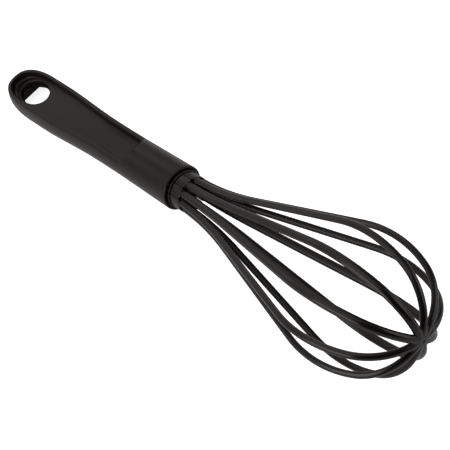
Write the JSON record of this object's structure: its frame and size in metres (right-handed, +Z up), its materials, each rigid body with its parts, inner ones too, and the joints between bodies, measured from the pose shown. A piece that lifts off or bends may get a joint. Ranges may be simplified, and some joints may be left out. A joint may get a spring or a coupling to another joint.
{
  "type": "balloon whisk",
  "caption": "Moulded nylon balloon whisk: a teardrop cage of ribs folded into the collar of a flat handle with a hanging eye, laid down as on a table.",
  "frame": {"origin": "on the table, under the middle of the whisk's bounding box", "axes": "+X along the whisk towards the tip of the balloon, +Z up from the table"},
  "size_m": [0.2804, 0.0626, 0.0659],
  "materials": {
    "handle": "satin black nylon",
    "head": "semi-gloss black nylon"
  },
  "bodies": {
    "root": {"handle": "handle", "hub": "head", "rib_01": "head", "rib_02": "head", "rib_03": "head", "rib_04": "head", "rib_05": "head", "rib_06": "head", "rib_07": "head", "rib_08": "head", "rib_09": "head", "rib_10": "head"}
  },
  "joints": []
}
